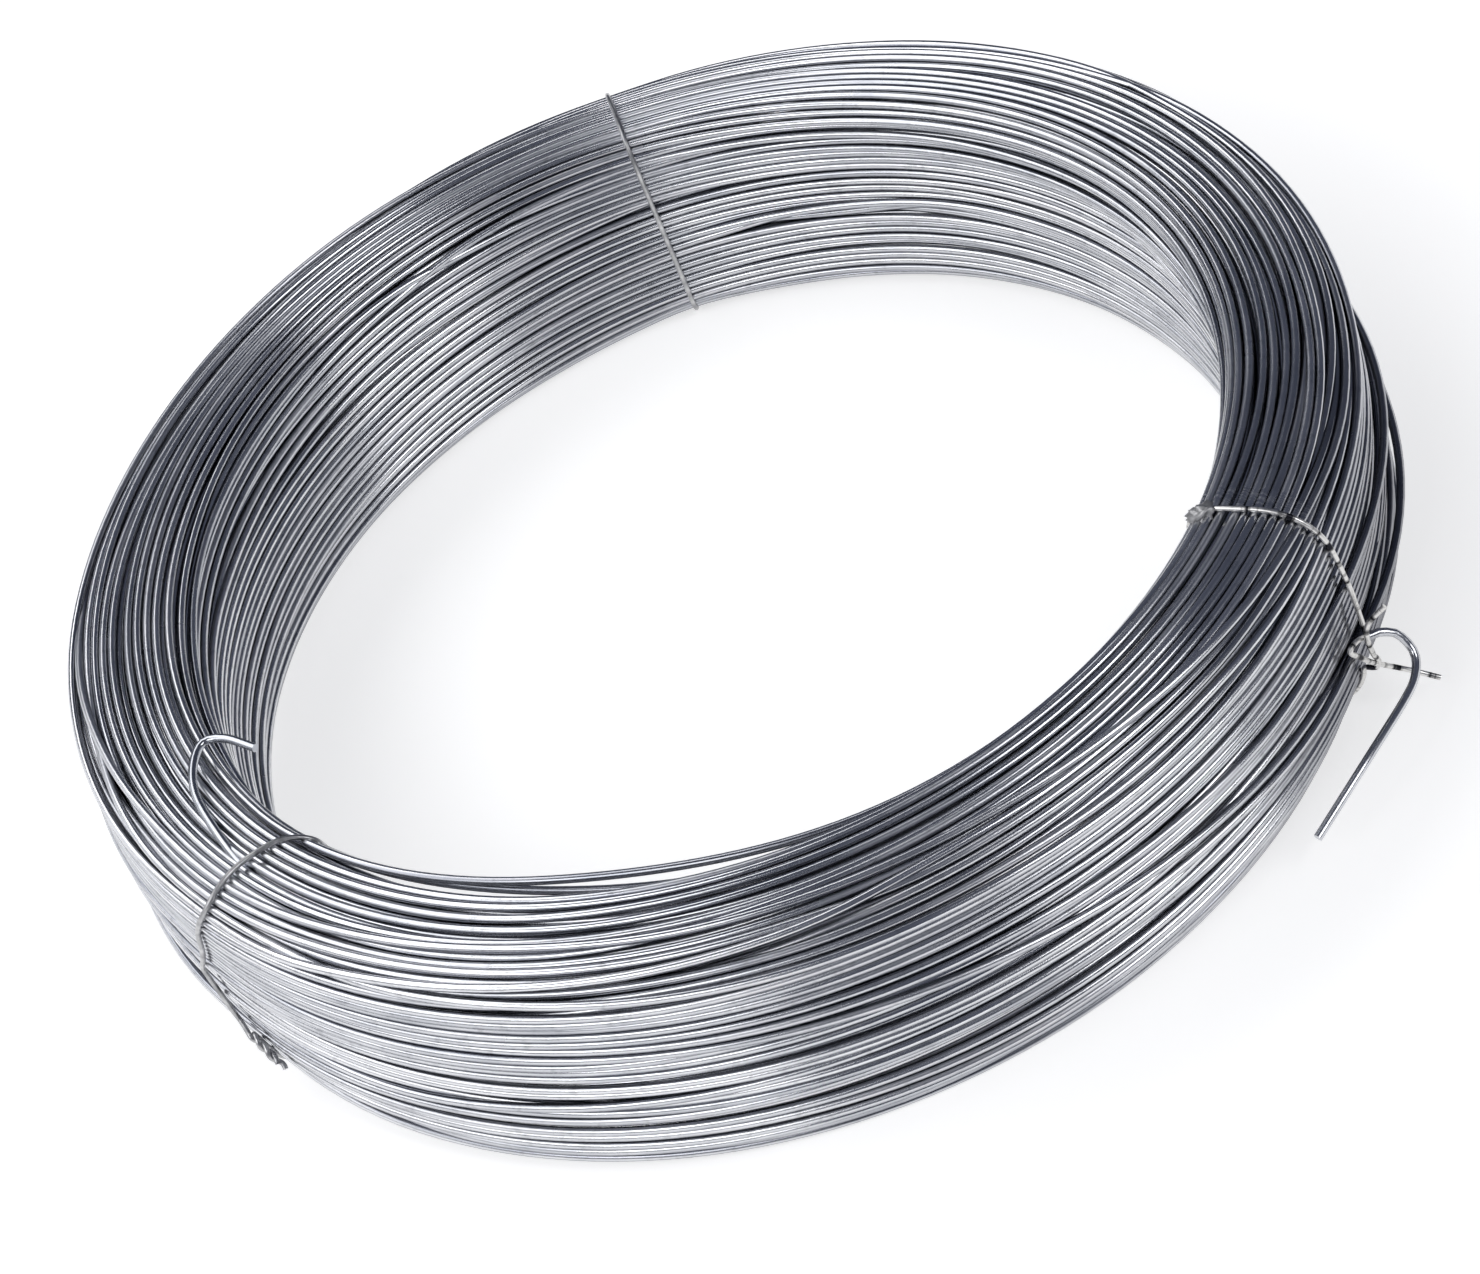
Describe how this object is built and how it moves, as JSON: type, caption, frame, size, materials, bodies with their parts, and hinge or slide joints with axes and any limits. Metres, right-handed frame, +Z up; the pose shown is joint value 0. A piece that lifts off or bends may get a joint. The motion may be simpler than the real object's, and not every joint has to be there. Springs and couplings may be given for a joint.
{
  "type": "coil of galvanised steel wire",
  "caption": "Tied coil of round galvanised steel wire lying flat, with a round open eye, turns showing on its ends and walls, thin tie wires twisted on the outside and both wire ends bent back.",
  "frame": {"origin": "centre of the flat end that the coil lies on, on the axis of its eye", "axes": "+Z up along the axis of the eye; -Y is the front, between the left and right ties; +X is the right, towards the folded outer end of the wire"},
  "size_m": [0.4499, 0.456, 0.0941],
  "materials": {
    "galvanised_wire": "bright drawn zinc coating with grey streaks",
    "tie_wire": "dull zinc coating, darkened and worn bright in places"
  },
  "bodies": {
    "root": {"wire_coil": "galvanised_wire", "tie_wire_left": "tie_wire", "tie_wire_right": "tie_wire", "tie_wire_back": "tie_wire"}
  },
  "joints": []
}
